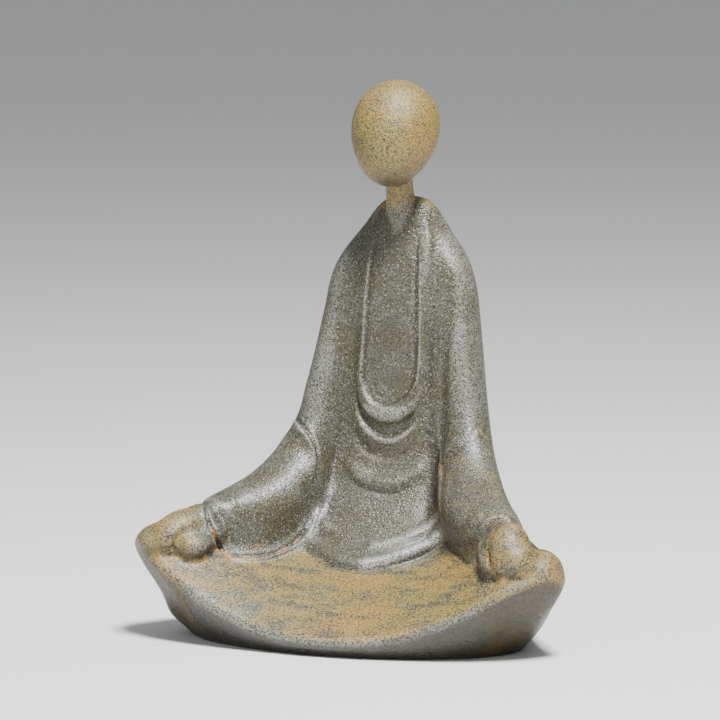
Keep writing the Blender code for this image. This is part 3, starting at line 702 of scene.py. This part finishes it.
def speckled_glaze():
    """Grey-green speckled glaze with an ochre wash and rust in its creases, with shade painted dark in its
    hollows and underneath, and highlights painted pale on its edges.
    """
    look = Finish("speckled_glaze")
    ochre, rust, painted_shade = look.painted("ochre"), look.painted("rust"), look.painted("painted_shade")
    crease_shade, edge_highlight = look.painted("crease_shade"), look.painted("edge_highlight")
    clouds, drift = look.noise(CLOUD_SIZE, 3), look.noise(DRIFT_SIZE, 4, (0.7, 1, 1.3))
    patches, streaks = look.noise(PATCH_SIZE, 2, (0.6, 1, 1)), look.noise(STREAK_SIZE, 5, (0.35, 1, 1.2))
    sand, crumbs = look.noise(SAND_SIZE, 2), look.noise(CRUMB_SIZE, 2)
    distance, tone = look.grains(GRAIN_SIZE)
    grit = look.sums("MULTIPLY", look.sums("SUBTRACT", sand, 0.5), 1.5)

    # The ochre wash lies in streaks and patches where it is thin, and evenly on the head
    loose, even = look.step(ochre, 0.35, 0.75, 0.8, 2.3), look.step(ochre, 0.90, 0.97, 1.0, 0.3)
    swing = look.sums("MULTIPLY", loose, even)
    wash = look.sums("ADD", ochre, look.sums("MULTIPLY", look.sums("SUBTRACT", streaks, 0.5), swing))
    wash = look.sums("ADD", wash, look.sums("MULTIPLY", look.sums("SUBTRACT", patches, 0.5), 0.7))
    wash = look.step(look.sums("ADD", wash, grit), 0.30, 1.05)
    warm = look.blend(look.step(patches, 0.48, 0.66, 0.0, 0.8), OCHRE, ORANGE)
    colour = look.blend(look.step(clouds, 0.38, 0.66), GREY, OLIVE)
    colour = look.blend(wash, colour, warm)

    # Rust in the creases, painted shade in the hollows, and painted highlights on the edges
    rusty = look.sums("MULTIPLY", rust, look.step(drift, 0.40, 0.60, 0.2, 1.0))
    crust = look.sums("ADD", rusty, look.sums("MULTIPLY", grit, 0.5))
    colour = look.blend(look.step(crust, 0.12, 0.8, 0.0, 0.9), colour, RUST)
    # painted shade: the hollows are darkened towards near black
    crease_shade_share = look.sums("MULTIPLY", look.step(crease_shade, 0.35, 1.0, 0.0, 0.7), look.step(rusty, 0.1, 0.5, 1.0, 0.2))
    colour = look.blend(crease_shade_share, colour, SHADE_COLOUR)
    # painted highlight: the edges are blended towards a pale colour
    colour = look.blend(look.sums("MULTIPLY", edge_highlight, 0.75), colour, HIGHLIGHT_PALE)

    # Light and dark grains, and the fine pits between them
    bright = look.sums("MULTIPLY", look.step(distance, 0.20, 0.48, 1.0, 0.0), look.step(tone, 0.52, 0.62))
    dark = look.sums("MULTIPLY", look.step(distance, 0.20, 0.50, 1.0, 0.0), look.step(tone, 0.48, 0.38))
    pits = look.sums("MULTIPLY", look.step(sand, 0.55, 0.36), look.step(wash, 0.0, 1.0, 0.85, 0.6))
    colour = look.blend(look.sums("MULTIPLY", bright, 0.68), colour, look.blend(wash, GLINT, PALE_OCHRE))
    colour = look.blend(look.sums("MULTIPLY", dark, 0.85), colour, PIT)
    colour = look.blend(pits, colour, PIT)
    # painted shade under the lap and on the inner face of the left sleeve
    colour = look.blend(look.sums("MULTIPLY", painted_shade, 0.8), colour, SHADE_COLOUR)
    look.feed(look.shader.inputs["Base Color"], colour)

    rough = look.step(crumbs, 0.3, 0.7, 0.27, 0.46)
    rough = look.sums("SUBTRACT", rough, look.sums("MULTIPLY", bright, 0.10))
    look.feed(look.shader.inputs["Roughness"], look.sums("ADD", rough, look.sums("MULTIPLY", wash, 0.18)))
    look.shader.inputs["IOR"].default_value = 1.6

    height = look.sums("ADD", look.sums("MULTIPLY", sand, 0.8), look.sums("MULTIPLY", crumbs, 0.7))
    height = look.sums("ADD", height, look.sums("MULTIPLY", bright, 0.3))
    height = look.sums("SUBTRACT", height, look.sums("MULTIPLY", dark, 0.35))
    bump = look.tree.nodes.new("ShaderNodeBump")
    bump.inputs["Strength"].default_value = 0.75
    bump.inputs["Distance"].default_value = 0.2 * UNIT
    look.feed(bump.inputs["Height"], height)
    look.feed(look.shader.inputs["Normal"], bump.outputs["Normal"])
    return look.material


# ---------------------------------------------------------------- setting

def floor():
    """A plain pale floor, wide enough to fill the view."""
    bpy.ops.object.select_all(action="DESELECT")
    bpy.ops.mesh.primitive_plane_add(size=30, location=(0, 0, 0))
    ground = bpy.context.object
    ground.name = "studio_floor"
    material = bpy.data.materials.new("pale_floor")
    material.use_nodes = True
    shader = material.node_tree.nodes["Principled BSDF"]
    shader.inputs["Base Color"].default_value = (0.80, 0.79, 0.77, 1)
    shader.inputs["Roughness"].default_value = 0.75
    ground.data.materials.append(material)


# The view: how far round to the figure's left, and how far above it, the camera stands
TURN, RISE = math.radians(19), math.radians(7)
IMAGE_SIDE = 720
FOCAL_PIXELS = 4000  # the lens, as a distance in pixels of the image
PIXELS_PER_UNIT = 3.613
NECK_COLUMN = 400  # the image column on which the neck stands
EYE_LEVEL = 72.3  # the height at the middle of the image


def camera():
    right = Vector((math.cos(TURN), math.sin(TURN), 0))
    back = Vector((math.sin(TURN) * math.cos(RISE), -math.cos(TURN) * math.cos(RISE), math.sin(RISE)))
    eye = bpy.data.objects.new("camera", bpy.data.cameras.new("camera"))
    bpy.context.scene.collection.objects.link(eye)
    eye.data.sensor_width = 36
    eye.data.lens = eye.data.sensor_width * FOCAL_PIXELS / IMAGE_SIDE
    eye.data.clip_start = 0.01
    eye.data.clip_end = 60
    aim = place(0, 0, EYE_LEVEL) - right * (NECK_COLUMN - IMAGE_SIDE / 2) / PIXELS_PER_UNIT * UNIT
    eye.location = aim + back * FOCAL_PIXELS / PIXELS_PER_UNIT * UNIT
    eye.rotation_mode = "QUATERNION"
    eye.rotation_quaternion = (-back).to_track_quat("-Z", "Y")
    bpy.context.scene.camera = eye


def lamp(name, right, towards, up, size, power):
    """A soft square light, placed as the camera sees it: to the right, towards the camera, and up."""
    across = Vector((math.cos(TURN), math.sin(TURN), 0))
    near = Vector((math.sin(TURN), -math.cos(TURN), 0))
    light = bpy.data.objects.new(name, bpy.data.lights.new(name, "AREA"))
    bpy.context.scene.collection.objects.link(light)
    light.data.size = size
    light.data.energy = power
    light.location = across * right + near * towards + Vector((0, 0, up))
    aim = place(0, 20, 60) - light.location
    light.rotation_mode = "QUATERNION"
    light.rotation_quaternion = aim.to_track_quat("-Z", "Y")


def lights():
    lamp("key", 0.14, 0.36, 0.95, 0.22, 26)
    lamp("fill", -0.9, 0.9, 0.5, 0.9, 2)
    world = bpy.data.worlds.new("studio")
    world.use_nodes = True
    tree = world.node_tree
    place_in_sky = tree.nodes.new("ShaderNodeTexCoord")
    height = tree.nodes.new("ShaderNodeSeparateXYZ")
    strength = tree.nodes.new("ShaderNodeMapRange")
    strength.inputs["To Min"].default_value = 0.10
    strength.inputs["To Max"].default_value = 0.70
    tree.links.new(place_in_sky.outputs["Generated"], height.inputs["Vector"])
    tree.links.new(height.outputs["Z"], strength.inputs["Value"])
    tree.links.new(strength.outputs["Result"], tree.nodes["Background"].inputs["Strength"])
    tree.nodes["Background"].inputs["Color"].default_value = (0.80, 0.82, 0.85, 1)
    bpy.context.scene.world = world


# ---------------------------------------------------------------- making

camera()
lights()
floor()

figure = take_form()
level_knees(figure)
for centre, radius, move in NUDGES:
    nudge(figure, centre, radius, move)
ease_lines(figure, LONG_EDGES)
for centre, radius, passes in EASED_SPOTS:
    ease_spot(figure, centre, radius, passes)
refine(figure, MARKS)
for shape, keys in MARKS:
    carve(figure, shape, keys)
round_off(figure, 2)
stand_flat(figure)
paint_weather_shade_and_highlights(figure)
figure.data.materials.clear()
figure.data.materials.append(speckled_glaze())
pick(figure)
bpy.ops.object.shade_smooth()
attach(figure, "root")
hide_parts("seated_figure")
